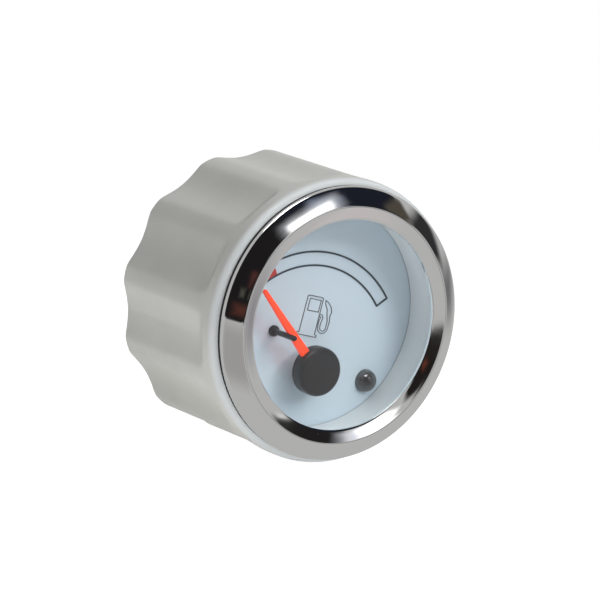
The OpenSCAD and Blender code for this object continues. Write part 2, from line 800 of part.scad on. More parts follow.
module lamp_holder() {
    seat_gap = run_gap;
    grip = [10, 2.4, 4];
    flange_front = case_back_z - seat_gap;
    flange_back = flange_front - holder_flange_t;
    color(black_color) upright() translate([0, lamp_rise, 0]) difference() {
        union() {
            disc(holder_flange_d / 2, flange_back, flange_front, mid_fn);
            disc(holder_d / 2, flange_front - eps, case_back_z + holder_len, mid_fn);
            translate([-grip[0] / 2, -grip[1] / 2, flange_back - grip[2]]) cube([grip[0], grip[1], grip[2] + eps]);
            translate([-lug_reach, -lug_w / 2, lug_z]) cube([2 * lug_reach, lug_w, lug_t]);
        }
        disc(bulb_r, bulb_z, case_back_z + holder_len + eps, small_fn);
    }
}

module lamp_bulb() {
    color([0.9, 0.92, 0.95, 0.5]) upright() translate([0, lamp_rise, 0]) {
        disc(bulb_r, bulb_z, bulb_z + bulb_len - bulb_r, small_fn);
        intersection() {
            translate([0, 0, bulb_z + bulb_len - bulb_r]) sphere(r = bulb_r, $fn = small_fn);
            disc(bulb_r + 1, bulb_z + bulb_len - bulb_r - eps, bulb_z + bulb_len + 1, small_fn);
        }
    }
}

case();
bezel();
lens();
lens_seal();
panel_gasket();
clamp_nut();
slip_washer();
inner_ring();
dial();
scale_print();
reserve_print();
pump_print();
light_guide();
stop_pin();
stop_collar();
low_fuel_light();
light_leads();
pointer();
hub_cap();
spindle();
magnet_rotor();
front_bush();
rear_bush();
bobbin_front();
bobbin_rear();
coil_inner();
coil_outer();
shield_can();
pillars();
board_screws();
circuit_board();
driver_chip();
resistor();
capacitor();
terminal_studs();
terminal_insulators();
terminal_washers();
terminal_nuts();
lamp_holder();
lamp_bulb();
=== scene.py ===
import math

import bmesh
import bpy
from mathutils import Matrix, Quaternion, Vector


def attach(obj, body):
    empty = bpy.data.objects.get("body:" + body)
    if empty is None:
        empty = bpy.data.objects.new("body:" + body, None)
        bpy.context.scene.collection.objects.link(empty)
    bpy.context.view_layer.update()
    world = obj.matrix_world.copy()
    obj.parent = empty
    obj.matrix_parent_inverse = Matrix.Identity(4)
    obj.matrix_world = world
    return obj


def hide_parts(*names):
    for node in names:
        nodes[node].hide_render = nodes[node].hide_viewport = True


# A round dashboard fuel gauge. The dial looks along -Y, 12 o'clock is +Z.
# Sizes in the dictionaries are millimetres: across the axis first, then forward out of the dial.

mm = 0.001
pole = 0.02                     # radius of the tiny rings that close a turned piece on its axis
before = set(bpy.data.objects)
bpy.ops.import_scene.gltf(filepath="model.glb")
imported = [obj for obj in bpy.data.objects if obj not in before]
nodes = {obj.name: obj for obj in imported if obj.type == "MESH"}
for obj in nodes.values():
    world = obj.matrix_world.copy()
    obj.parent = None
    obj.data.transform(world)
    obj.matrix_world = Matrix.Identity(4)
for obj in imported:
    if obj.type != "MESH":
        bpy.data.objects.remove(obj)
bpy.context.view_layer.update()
print("frame loaded:", len(nodes), "nodes")

# Heights and spots that several pieces share
gauge = {
    "dialFront": -8.4,
    "pivot": (0, -11),          # of the pointer
    "caseFloor": -33.6,         # inner face of the case's back
    "caseBack": -36.0,
}


# Camera

cameraView = {
    "azimuth": 35.3,            # degrees to the gauge's left
    "elevation": 3.92,
    "roll": 14.55,              # the camera leans, so the gauge looks turned clockwise
    "distance": 931.7,
    "target": (-6.76, 5.0, 2.57),
    "lens": 270.0,
    "sensor": 36.0,
    "clip": (0.05, 20.0),       # nearest and farthest, in metres
}


# A spot round the gauge: degrees to the right of its front, degrees up, and how far away
def studioSpot(side, up, distance):
    side = math.radians(side)
    up = math.radians(up)
    return Vector((math.sin(side) * math.cos(up), -math.cos(side) * math.cos(up), math.sin(up))) * distance


def placeCamera(v):
    back = studioSpot(-v["azimuth"], v["elevation"], 1)
    bpy.ops.object.camera_add(location=(Vector(v["target"]) + back * v["distance"]) * mm)
    camera = bpy.context.object
    turn = back.to_track_quat("Z", "Y").to_matrix() @ Matrix.Rotation(math.radians(v["roll"]), 3, "Z")
    camera.rotation_mode = "QUATERNION"
    camera.rotation_quaternion = turn.to_quaternion()
    camera.data.lens = v["lens"]
    camera.data.sensor_width = v["sensor"]
    camera.data.clip_start, camera.data.clip_end = v["clip"]
    bpy.context.scene.camera = camera


placeCamera(cameraView)
print("camera placed")


# Helpers for shaping pieces

def clearSelection():
    bpy.ops.object.select_all(action="DESELECT")


def selectOnly(piece):
    clearSelection()
    piece.select_set(True)
    bpy.context.view_layer.objects.active = piece


# Names the object that was just added
def named(name):
    piece = bpy.context.object
    piece.name = name
    piece.data.name = name
    return piece


def applyPlace():
    bpy.ops.object.transform_apply(location=True, rotation=True, scale=True)


# Where a point of the gauge's drawing lies: x right, y up, z forward, in millimetres
def place(x, y, z):
    return Vector((x, -z, y)) * mm


# Turns a profile of (radius, forward) points about an axis by extruding a circle ring by ring.
# A closed profile is joined to its start. An open one starts and ends at the pole, where its rings are merged
def turned(name, profile, centre=(0, 0), segments=192, closed=True):
    clearSelection()
    radius, forward = profile[0]
    bpy.ops.mesh.primitive_circle_add(vertices=segments, radius=radius * mm, location=place(*centre, forward),
                                      rotation=(math.radians(90), 0, 0))
    piece = named(name)
    applyPlace()
    bpy.ops.object.mode_set(mode="EDIT")
    bpy.ops.mesh.select_all(action="SELECT")
    for newRadius, newForward in profile[1:]:
        step = (0, (forward - newForward) * mm, 0)
        grow = newRadius / radius
        bpy.ops.mesh.extrude_edges_move(TRANSFORM_OT_translate={"value": step})
        bpy.ops.transform.resize(value=(grow, 1, grow), center_override=place(*centre, newForward))
        radius, forward = newRadius, newForward
    bpy.ops.mesh.select_all(action="DESELECT")
    bpy.ops.mesh.select_mode(type="VERT")
    bpy.ops.mesh.select_non_manifold()
    if closed:
        bpy.ops.mesh.bridge_edge_loops()
    else:
        bpy.ops.mesh.remove_doubles(threshold=3 * pole * mm)
    bpy.ops.mesh.select_all(action="SELECT")
    bpy.ops.mesh.normals_make_consistent(inside=False)
    bpy.ops.object.mode_set(mode="OBJECT")
    return piece


# Puts a copy with its own mesh at every further spot and joins them all into one piece
def repeatAt(piece, spots):
    start = Vector(spots[0])
    copies = []
    for spot in spots[1:]:
        selectOnly(piece)
        bpy.ops.object.duplicate(linked=False)
        copy = bpy.context.object
        copy.location = place(*(Vector(spot) - start), 0)
        applyPlace()
        copies.append(copy)
    selectOnly(piece)
    for copy in copies:
        copy.select_set(True)
    bpy.ops.object.join()
    return piece


# A box by its middle and size in the gauge's drawing
def block(name, middle, size):
    clearSelection()
    bpy.ops.mesh.primitive_cube_add(size=1, location=place(*middle))
    piece = named(name)
    piece.scale = (size[0] * mm, size[2] * mm, size[1] * mm)
    applyPlace()
    return piece


def smooth(piece, degrees=35):
    selectOnly(piece)
    bpy.ops.object.shade_smooth_by_angle(angle=math.radians(degrees))


def applyModifiers(piece):
    selectOnly(piece)
    for modifier in list(piece.modifiers):
        bpy.ops.object.modifier_apply(modifier=modifier.name)


def bevelEdges(piece, width, segments):
    bevel = piece.modifiers.new("edges", "BEVEL")
    bevel.width = width
    bevel.segments = segments
    applyModifiers(piece)


# Joins or cuts a piece with another shape, which is used up
def combine(piece, other, operation):
    boolean = piece.modifiers.new(operation.lower(), "BOOLEAN")
    boolean.operation = operation
    boolean.solver = "EXACT"
    boolean.object = other
    applyModifiers(piece)
    bpy.data.objects.remove(other)


def arcPoints(x, y, radius, start, end, steps):
    points = []
    for i in range(steps + 1):
        angle = math.radians(start + (end - start) * i / steps)
        points.append((x + radius * math.cos(angle), y + radius * math.sin(angle)))
    return points


# Gives a finished piece its finish, its body and the node that it stands for
def finishPiece(piece, material, slot, body, *replaced):
    piece.data.materials.clear()
    piece.data.materials.append(material)
    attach(piece, body)
    if replaced:
        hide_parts(*replaced)


# Materials, whose lengths are in metres

def newMaterial(name, color, roughness, metallic=0.0):
    material = bpy.data.materials.new(name)
    material.use_nodes = True
    tree = material.node_tree
    shader = tree.nodes["Principled BSDF"]
    shader.inputs["Base Color"].default_value = (*color, 1)
    shader.inputs["Roughness"].default_value = roughness
    shader.inputs["Metallic"].default_value = metallic
    return material, tree, shader


def addNode(tree, kind, **settings):
    node = tree.nodes.new(kind)
    for key, value in settings.items():
        setattr(node, key, value)
    return node


# Noise on the piece's own coordinates, so it stays with the piece
def addNoise(tree, scale, detail):
    coords = addNode(tree, "ShaderNodeTexCoord")
    noise = addNode(tree, "ShaderNodeTexNoise")
    noise.inputs["Scale"].default_value = scale
    noise.inputs["Detail"].default_value = detail
    tree.links.new(coords.outputs["Object"], noise.inputs["Vector"])
    return noise.outputs["Fac"]


# One axis of the piece's own coordinates, in metres, or of its UV map
def addAxis(tree, axis, source="Object"):
    coords = addNode(tree, "ShaderNodeTexCoord")
    split = addNode(tree, "ShaderNodeSeparateXYZ")
    tree.links.new(coords.outputs[source], split.inputs["Vector"])
    return split.outputs[axis]


def addMath(tree, operation, first, second):
    node = addNode(tree, "ShaderNodeMath", operation=operation)
    tree.links.new(first, node.inputs[0])
    if isinstance(second, float):
        node.inputs[1].default_value = second
    else:
        tree.links.new(second, node.inputs[1])
    return node.outputs["Value"]


# Maps a factor to a new range
def remap(tree, factor, low, high, newLow, newHigh):
    node = addNode(tree, "ShaderNodeMapRange")
    node.inputs["From Min"].default_value = low
    node.inputs["From Max"].default_value = high
    node.inputs["To Min"].default_value = newLow
    node.inputs["To Max"].default_value = newHigh
    tree.links.new(factor, node.inputs["Value"])
    return node.outputs["Result"]


# Sockets 6 and 7 of the Mix node are its two colors
def mixColors(tree, factor, first, second):
    node = addNode(tree, "ShaderNodeMix", data_type="RGBA")
    tree.links.new(factor, node.inputs["Factor"])
    for socket, value in ((node.inputs[6], first), (node.inputs[7], second)):
        if isinstance(value, tuple):
            socket.default_value = (*value, 1)
        else:
            tree.links.new(value, socket)
    return node.outputs[2]


# Shows the first shader where the factor is 0 and the second where it is 1
def mixShaders(tree, factor, first, second, output):
    mix = addNode(tree, "ShaderNodeMixShader")
    tree.links.new(factor, mix.inputs["Fac"])
    tree.links.new(first, mix.inputs[1])
    tree.links.new(second, mix.inputs[2])
    tree.links.new(mix.outputs["Shader"], output.inputs["Surface"])


def addBump(tree, shader, height, distance, strength=1.0, base=None):
    bump = addNode(tree, "ShaderNodeBump")
    bump.inputs["Strength"].default_value = strength
    bump.inputs["Distance"].default_value = distance
    tree.links.new(height, bump.inputs["Height"])
    if base is not None:
        tree.links.new(base, bump.inputs["Normal"])
    tree.links.new(bump.outputs["Normal"], shader.inputs["Normal"])
    return bump.outputs["Normal"]


paintWork = {
    "cloudScale": 120,          # noise scales count features per metre
    "wearScale": 300,
    "wear": 0.15,               # share by which the roughness comes and goes
    "grainScale": 900,
}


def paintSimple(name, color, roughness, metallic=0.0, spread=0.06, grain=0.00002):
    w = paintWork
    material, tree, shader = newMaterial(name, color, roughness, metallic)
    clouds = addNoise(tree, w["cloudScale"], 4)
    darker = tuple(c * (1 - spread) for c in color)
    lighter = tuple(min(1, c * (1 + spread)) for c in color)
    tree.links.new(mixColors(tree, clouds, darker, lighter), shader.inputs["Base Color"])
    worn = remap(tree, addNoise(tree, w["wearScale"], 3), 0.3, 0.7,
                 roughness * (1 - w["wear"]), min(1, roughness * (1 + w["wear"])))
    tree.links.new(worn, shader.inputs["Roughness"])
    addBump(tree, shader, addNoise(tree, w["grainScale"], 2), grain)
    return material


palePlastic = {
    "color": (0.62, 0.62, 0.59),
    "shade": (0.575, 0.575, 0.54),
    "cloudScale": 60,
    "roughness": 0.42,
    "polished": 0.06,           # how far the roughness falls and rises
    "dulled": 0.08,
    "wearScale": 350,
    "peel": 0.00003,            # heights of the fine and the broad unevenness
    "peelScale": 700,
    "wave": 0.0001,
    "waveScale": 90,
    # painted sheen: the rim is lighter and bluer, standing for its glossy front edge mirroring the bright
    # surroundings
    "rimSheenColor": (0.64, 0.67, 0.68),
    "rimSheenStart": 0.0010,         # depth over which the rim's painted sheen fades
    "rimSheenEnd": 0.0024,
}


def makePalePlastic(p):
    material, tree, shader = newMaterial("palePlastic", p["color"], p["roughness"])
    clouds = remap(tree, addNoise(tree, p["cloudScale"], 5), 0.35, 0.7, 0, 1)
    body = mixColors(tree, clouds, p["color"], p["shade"])
    # painted sheen: the base colour turns lighter and bluer towards the front rim
    rim = remap(tree, addAxis(tree, "Y"), p["rimSheenStart"], p["rimSheenEnd"], 1, 0)
    tree.links.new(mixColors(tree, rim, body, p["rimSheenColor"]), shader.inputs["Base Color"])
    worn = remap(tree, addNoise(tree, p["wearScale"], 4), 0.3, 0.7,
                 p["roughness"] - p["polished"], p["roughness"] + p["dulled"])
    tree.links.new(worn, shader.inputs["Roughness"])
    peel = addBump(tree, shader, addNoise(tree, p["peelScale"], 3), p["peel"], 0.6)
    addBump(tree, shader, addNoise(tree, p["waveScale"], 2), p["wave"], 0.3, peel)
    return material


chromePlate = {
    "color": (0.88, 0.875, 0.865),
    "clean": 0.03,              # roughness where it is clean
    "smudged": 0.11,
    "smudgeScale": 70,
    "pitColor": (0.05, 0.05, 0.055),
    "pits": (260, 0.00011, 0.06),       # cells per metre, radius of a spot, share of cells that have one
    "dustColor": (0.9, 0.9, 0.9),
    "dust": (520, 0.00006, 0.16),
    "dustMetal": 0.3,
    "wave": 0.00002,
    "waveScale": 160,
}


# A sprinkling of small round spots
def addSpecks(tree, cells, radius, share):
    coords = addNode(tree, "ShaderNodeTexCoord")
    cell = addNode(tree, "ShaderNodeTexVoronoi")
    cell.inputs["Scale"].default_value = cells
    tree.links.new(coords.outputs["Object"], cell.inputs["Vector"])
    near = remap(tree, cell.outputs["Distance"], radius * cells * 0.8, radius * cells * 1.2, 1, 0)
    split = addNode(tree, "ShaderNodeSeparateColor")
    tree.links.new(cell.outputs["Color"], split.inputs["Color"])
    chosen = remap(tree, split.outputs["Red"], share, share + 0.01, 1, 0)
    return addMath(tree, "MULTIPLY", near, chosen)


def makeChrome(c):
    material, tree, shader = newMaterial("chrome", c["color"], c["clean"], 1.0)
    smudge = remap(tree, addNoise(tree, c["smudgeScale"], 5), 0.45, 0.75, c["clean"], c["smudged"])
    tree.links.new(smudge, shader.inputs["Roughness"])
    pits = addSpecks(tree, *c["pits"])
    dust = addSpecks(tree, *c["dust"])
    pitted = mixColors(tree, pits, c["color"], c["pitColor"])
    tree.links.new(mixColors(tree, dust, pitted, c["dustColor"]), shader.inputs["Base Color"])
    tree.links.new(remap(tree, dust, 0, 1, 1, c["dustMetal"]), shader.inputs["Metallic"])
    addBump(tree, shader, addNoise(tree, c["waveScale"], 2), c["wave"], 0.3)
    return material


def makeGlass(name, tint, ior=1.49):
    material, tree, shader = newMaterial(name, tint, 0.0)
    shader.inputs["Transmission Weight"].default_value = 1.0
    shader.inputs["IOR"].default_value = ior
    clear = addNode(tree, "ShaderNodeBsdfTransparent")
    path = addNode(tree, "ShaderNodeLightPath").outputs
    # a refracted ray counts as glossy too, so only shadow rays and mirrored rays are let straight through
    bounced = addMath(tree, "SUBTRACT", path["Is Glossy Ray"], path["Is Transmission Ray"])
    straight = addMath(tree, "MAXIMUM", path["Is Shadow Ray"], bounced)
    mixShaders(tree, straight, shader.outputs["BSDF"], clear.outputs["BSDF"], tree.nodes["Material Output"])
    return material


pointerPlastic = {
    "color": (1.0, 0.065, 0.022),
    "roughness": 0.32,
    "shine": 0.3,
    # painted glow: a faint red emission stands for light carried through the translucent pointer, which is no
    # lamp
    "paintedGlowColor": (1.0, 0.085, 0.03, 1),
    "glow": 0.3,
    "grain": 0.00002,
    "grainScale": 500,
    "shadowTint": (0.92, 0.42, 0.46, 1),
}


# Light that passes the pointer tints its shadow
def makePointerRed(p):
    material, tree, shader = newMaterial("pointerRed", p["color"], p["roughness"])
    shader.inputs["Specular IOR Level"].default_value = p["shine"]
    # painted glow of the translucent red plastic
    shader.inputs["Emission Color"].default_value = p["paintedGlowColor"]
    shader.inputs["Emission Strength"].default_value = p["glow"]
    addBump(tree, shader, addNoise(tree, p["grainScale"], 2), p["grain"], 0.3)
    tinted = addNode(tree, "ShaderNodeBsdfTransparent")
    tinted.inputs["Color"].default_value = p["shadowTint"]
    shadow = addNode(tree, "ShaderNodeLightPath").outputs["Is Shadow Ray"]
    mixShaders(tree, shadow, shader.outputs["BSDF"], tinted.outputs["BSDF"], tree.nodes["Material Output"])
    return material


ringWhite = {
    "color": (0.62, 0.66, 0.70),
    "roughness": 0.4,
    "darker": (0.66, 0.71, 0.725),
    "lighter": (0.69, 0.74, 0.755),
    "cloudScale": 120,
    # painted shade of the gap between the ring and the dial
    "gapShadeColor": (0.14, 0.155, 0.18),
    "gapShadeStart": 0.00817,       # depth at which the painted shade at the ring's foot begins
    "gapShadeEnd": 0.00827,
    "grain": 0.00002,
    "grainScale": 900,
}


# Pale plastic with a band of painted shade at its foot, standing for the shaded gap where it meets the dial
def makeRingPlastic(r):
    material, tree, shader = newMaterial("ringPlastic", r["color"], r["roughness"])
    # painted shade: the foot of the ring is darkened where it meets the dial
    gapShade = remap(tree, addAxis(tree, "Y"), r["gapShadeStart"], r["gapShadeEnd"], 0, 1)
    clouds = mixColors(tree, addNoise(tree, r["cloudScale"], 4), r["darker"], r["lighter"])
    tree.links.new(mixColors(tree, gapShade, clouds, r["gapShadeColor"]), shader.inputs["Base Color"])
    addBump(tree, shader, addNoise(tree, r["grainScale"], 2), r["grain"])
    return material


resinCoat = {"Coat Weight": 1.0, "Coat Roughness": 0.03, "Coat IOR": 1.75}


def makeSmokedResin(coat):
    material = paintSimple("smokedResin", (0.020, 0.020, 0.021), 0.07)
    for socket, value in coat.items():
        material.node_tree.nodes["Principled BSDF"].inputs[socket].default_value = value
    return material


plasticPale = makePalePlastic(palePlastic)
chrome = makeChrome(chromePlate)
lensGlass = makeGlass("lensGlass", (1, 1, 1))
guideGlass = makeGlass("guideGlass", (0.9, 0.94, 0.96))
rubberBlack = paintSimple("rubberBlack", (0.012, 0.012, 0.013), 0.8)
sealGrey = paintSimple("sealGrey", (0.36, 0.37, 0.38), 0.6)
plasticBlack = paintSimple("plasticBlack", (0.018, 0.0175, 0.019), 0.36)
dialPaint = paintSimple("dialPaint", (0.55, 0.66, 0.735), 0.55, spread=0.015, grain=0.00001)
ringPlastic = makeRingPlastic(ringWhite)
inkDark = paintSimple("inkDark", (0.035, 0.05, 0.07), 0.5)
inkGrey = paintSimple("inkGrey", (0.15, 0.165, 0.185), 0.5)
inkRed = paintSimple("inkRed", (0.50, 0.03, 0.03), 0.5)
smokedResin = makeSmokedResin(resinCoat)
pointerRed = makePointerRed(pointerPlastic)
brass = paintSimple("brassTurned", (0.82, 0.64, 0.34), 0.26, 1.0)
steel = paintSimple("steelBright", (0.58, 0.58, 0.60), 0.3, 1.0)
ferrite = paintSimple("ferrite", (0.08, 0.08, 0.085), 0.7)
nylon = paintSimple("nylonCream", (0.68, 0.65, 0.54), 0.5)
copper = paintSimple("copperWire", (0.55, 0.20, 0.09), 0.35, 1.0)
boardGreen = paintSimple("boardGreen", (0.02, 0.13, 0.07), 0.4)
resistorTan = paintSimple("resistorTan", (0.50, 0.38, 0.22), 0.5)
sleeveBlue = paintSimple("sleeveBlue", (0.02, 0.04, 0.12), 0.35)
print("materials made")


# The fluted clamp nut

clampNut = {
    "rim": 30.2,                # radius of the smooth rim and of the crests
    "front": -0.1,
    "round": 2.0,               # radius of the front corner
    "flutes": 12,
    "steps": 8,                 # columns from a crest to the middle of a flute
    "turned": 3.75,             # degrees that the nut is turned past 12 o'clock
    "depth": 1.5,
    "halfWidth": 6.3,           # of a flute
    "start": -4.3,              # where the middle of a flute starts
    "corner": 2.6,              # radius of the flute's front corners
    "runout": 3.2,              # length of the slope at the flute's front end
    "rimRings": [-3.0, -3.7, -4.2],
    "runoutRings": [-4.6 - 0.4 * i for i in range(16)],
    "bodyRings": [-11.4, -12.6, -14.5, -18, -22, -26, -30, -33, -34.8, -35.7],
    "seat": 27.7,               # radius of the recess under the gasket, and its floor
    "seatFloor": -1.5,
    "bore": 26.35,
    "boreRings": [-20, -3],
    "foot": 27.6,               # radius inside which the back is rounded into the bore
    "back": -36.5,
}


# How deep a flute is at a distance from its middle line and at a height along the nut
def fluteDepth(n, aside, z):
    across = 1 - (aside / n["halfWidth"]) ** 2
    if across <= 0:
        return 0
    past = max(0, aside - (n["halfWidth"] - n["corner"])) / n["corner"]
    start = n["start"] - n["corner"] * (1 - math.sqrt(max(0, 1 - past * past)))
    along = min(1, max(0, (start - z) / n["runout"]))
    return n["depth"] * across ** 1.2 * along * (2 - along)


# The nut's outline before the flutes are drawn in, from the recess round the rim and back through the bore
def nutProfile(n):
    front, back, rim, bore, seat = n["front"], n["back"], n["rim"], n["bore"], n["seat"]
    profile = [(bore, n["seatFloor"]), (seat - 0.05, n["seatFloor"]), (seat, n["seatFloor"] + 0.1),
               (seat, front - 0.15), (seat + 0.15, front)]
    profile += arcPoints(rim - n["round"], front - n["round"], n["round"], 88, 0, 8)
    profile += [(rim, z) for z in n["rimRings"] + n["runoutRings"] + n["bodyRings"]]
    profile += [(rim - 0.04, back + 0.45), (rim - 0.2, back + 0.18), (rim - 0.6, back), (n["foot"], back),
                (n["foot"] - 0.6, back), (bore + 0.25, back + 0.1), (bore, back + 0.4)]
    return profile + [(bore, z) for z in n["boreRings"]]


# Sorts the vertices of the fluted side by height, by column from crest to flute, and by radius
def fluteGroups(n, mesh):
    groups = {}
    for v in mesh.verts:
        radius = round(math.hypot(v.co.x, v.co.z) / mm, 2)
        z = round(-v.co.y / mm, 2)
        turn = ((math.degrees(math.atan2(v.co.x, v.co.z)) + n["turned"]) * n["flutes"] / 360) % 1
        column = round((0.5 - abs(turn - 0.5)) * 2 * n["steps"])
        if radius > n["rim"] - 1 and z < n["start"] and column > 0:
            groups.setdefault((z, column, radius), []).append(v.index)
    return groups


def makeClampNut(n):
    halfPitch = math.pi * n["rim"] / n["flutes"]
    piece = turned("clampNutShell", nutProfile(n), segments=n["flutes"] * n["steps"] * 2)
    bpy.ops.object.mode_set(mode="EDIT")
    mesh = bmesh.from_edit_mesh(piece.data)
    for (z, column, radius), members in fluteGroups(n, mesh).items():
        depth = fluteDepth(n, halfPitch * (1 - column / n["steps"]), z)
        if depth <= 0:
            continue
        bpy.ops.mesh.select_all(action="DESELECT")
        mesh.verts.ensure_lookup_table()
        for index in members:
            mesh.verts[index].select = True
        grow = (radius - depth) / radius
        bpy.ops.transform.resize(value=(grow, 1, grow), center_override=place(0, 0, z))
    bpy.ops.object.mode_set(mode="OBJECT")
    subdivision = piece.modifiers.new("round", "SUBSURF")
    subdivision.levels = 1
    subdivision.render_levels = 1
    applyModifiers(piece)
    smooth(piece, 60)
    return piece


finishPiece(makeClampNut(clampNut), plasticPale, "pale_plastic", "nut", "clamp_nut")
print("clamp nut made")


# Bezel, gasket, lens and the ring round the dial

bezel = {
    "outer": 29.0,
    "edgeRound": 0.25,
    "back": 0.7,
    "backBore": 27.0,           # inner radius of the flange that lies on the gasket
    "skirtFront": 1.5,
    "shoulderRound": 0.6,
    "ridge": 25.0,
    "ridgeFront": 3.8,
    "ridgeRound": 0.75,
    "bore": 22.2,
    "lipFront": 3.0,
    "lipRound": 0.06,
    "lensFront": 2.4,
    "lensGap": 0.02,
    "sheet": 0.5,
    "crown": 0.05,              # how far the sloping faces swell between their edges
}


# Points along a line that swells outwards in its middle
def crowned(start, end, swell, steps):
    run, rise = end[0] - start[0], end[1] - start[1]
    length = math.hypot(run, rise)
    points = []
    for i in range(1, steps):
        t = i / steps
        out = swell * 4 * t * (1 - t)
        points.append((start[0] + run * t - rise / length * out * (1 if run > 0 else -1),
                       start[1] + rise * t + abs(run) / length * out))
    return points


def makeBezel(b):
    outer, bore, back, sheet = b["outer"], b["bore"], b["back"], b["sheet"]
    edge, lip = b["edgeRound"], b["lipRound"]
    seat = b["lensFront"] + b["lensGap"]
    outSlope = math.degrees(math.atan2(b["ridgeFront"] - b["skirtFront"], outer - b["ridge"]))
    inSlope = math.degrees(math.atan2(b["ridgeFront"] - b["lipFront"], b["ridge"] - bore))
    shoulder = arcPoints(outer - b["shoulderRound"], b["skirtFront"] - 0.35, b["shoulderRound"],
                         0, 80 - outSlope, 7)
    ridge = arcPoints(b["ridge"], b["ridgeFront"] - b["ridgeRound"], b["ridgeRound"],
                      84 - outSlope, 94 + inSlope, 8)
    rolled = arcPoints(bore + lip, b["lipFront"] - 0.04, lip, 96 + inSlope, 180, 3)
    profile = [(b["backBore"], back), (outer - 0.3, back)]
    profile += arcPoints(outer - edge, back + edge, edge, -60, 0, 3)
    profile += shoulder + crowned(shoulder[-1], ridge[0], b["crown"], 8)
    profile += ridge + crowned(ridge[-1], rolled[0], b["crown"] * 0.5, 6) + rolled
    profile += [(bore, seat), (bore + sheet, seat), (bore + sheet, b["lipFront"] - 0.27),
                (b["ridge"], b["ridgeFront"] - b["ridgeRound"]), (outer - sheet, back + sheet + 0.03),
                (b["backBore"], back + sheet)]
    piece = turned("chromeBezel", profile, segments=256)
    smooth(piece, 40)
    return piece


finishPiece(makeBezel(bezel), chrome, "chrome_trim", "gauge", "bezel")

panelGasket = {"inner": 26.1, "outer": 28.95, "thick": 0.7}


def makeGasket(g):
    inner, outer, thick = g["inner"], g["outer"], g["thick"]
    profile = [(inner, 0.05), (inner, thick - 0.05), (inner + 0.2, thick), (outer - 0.15, thick),
               (outer - 0.05, thick - 0.08), (outer, thick / 2), (outer - 0.05, 0.02), (outer - 0.25, 0),
               (inner + 0.1, 0)]
    piece = turned("gasketRing", profile)
    smooth(piece)
    return piece


finishPiece(makeGasket(panelGasket), rubberBlack, "black_rubber", "gauge", "panel_gasket")

lensDisc = {"radius": 25.1, "back": 0.4, "chamfer": 0.2}


def makeLens(d, front):
    r, c, back = d["radius"], d["chamfer"], d["back"]
    profile = [(pole, back), (r - c, back), (r, back + c), (r, front - c), (r - c, front), (pole, front)]
    piece = turned("lensDisc", profile, closed=False)
    smooth(piece, 20)
    return piece


finishPiece(makeLens(lensDisc, bezel["lensFront"]), lensGlass, "clear_lens", "gauge", "lens")

innerRing = {"inner": 23.7, "outer": 24.5, "front": -0.2}


def makeInnerRing(r):
    inner, outer, front, foot = r["inner"], r["outer"], r["front"], gauge["dialFront"]
    profile = [(inner, foot + 0.05), (inner, front - 0.2), (inner + 0.15, front - 0.02), (outer - 0.1, front),
               (outer, front - 0.1), (outer, foot), (inner + 0.05, foot)]
    piece = turned("dialRing", profile)
    smooth(piece)
    return piece


finishPiece(makeInnerRing(innerRing), ringPlastic, "ring_plastic", "gauge", "inner_ring")
print("bezel, lens and ring made")


# Pointer, hub cap and stop pin

pointerShape = {
    "angle": 51.4,              # left of 12 o'clock
    "start": 1,                 # both ends of the blade, from the pivot
    "length": 22.8,
    "rootWidth": 2.3,
    "tipWidth": 0.9,
    "tipThickness": 0.75,       # share of the thickness at the root
    "low": 4.4,                 # above the dial
    "high": 5.7,
    "edge": 0.28,
}


# The blade is shaped upright at the origin, then turned about the pivot
def makePointer(p):
    blade = p["length"] - p["start"]
    clearSelection()
    bpy.ops.mesh.primitive_cube_add(size=1, location=(0, 0, blade / 2 + p["start"]))
    piece = named("pointerBlade")
    piece.scale = (p["rootWidth"], p["high"] - p["low"], blade)
    applyPlace()
    bpy.ops.object.mode_set(mode="EDIT")
    mesh = bmesh.from_edit_mesh(piece.data)
    for v in mesh.verts:
        if v.co.z > blade:
            v.co.x *= p["tipWidth"] / p["rootWidth"]
            v.co.y *= p["tipThickness"]
    bmesh.update_edit_mesh(piece.data)
    bpy.ops.object.mode_set(mode="OBJECT")
    bevelEdges(piece, p["edge"], 4)
    turn = Matrix.Rotation(math.radians(-p["angle"]), 4, "Y")
    middle = place(*gauge["pivot"], gauge["dialFront"] + (p["low"] + p["high"]) / 2)
    piece.data.transform(Matrix.Translation(middle) @ Matrix.Scale(mm, 4) @ turn)
    smooth(piece, 40)
    return piece


finishPiece(makePointer(pointerShape), pointerRed, "pointer_red", "needle", "pointer")

hubCap = {"radius": 5.2, "top": 7.4, "wall": 3.6, "round": 1.0, "crown": 0.4, "sheet": 0.7}


def makeHubCap(h):
    r = h["radius"]
    inner = r - h["sheet"]
    edge = r - h["round"]
    top = gauge["dialFront"] + h["top"]
    low = top - h["wall"]
    inside = top - h["sheet"] - h["crown"]
    profile = [(pole, inside), (inner, inside), (inner, low), (r - 0.1, low), (r, low + 0.1)]
    profile += arcPoints(edge, top - h["crown"] - h["round"], h["round"], 0, 76, 7)
    profile += [(edge * t, top - h["crown"] * t * t) for t in (0.97, 0.85, 0.7, 0.5, 0.3, 0.12)]
    profile.append((pole, top))
    piece = turned("hubCapShell", profile, gauge["pivot"], 96, False)
    smooth(piece, 30)
    return piece


finishPiece(makeHubCap(hubCap), plasticBlack, "black_plastic", "needle", "hub_cap")

stopPin = {
    "reach": 11.3,              # from the pivot
    "angle": 57.98,             # left of 12 o'clock
    "radius": 0.6,
    "top": 0.0,
    "root": 2,                  # length behind the dial's face
    "collar": 1.2,
    "collarBore": 0.47,
}


def stopSpot(s):
    angle = math.radians(s["angle"])
    x, y = gauge["pivot"]
    return x - s["reach"] * math.sin(angle), y + s["reach"] * math.cos(angle)


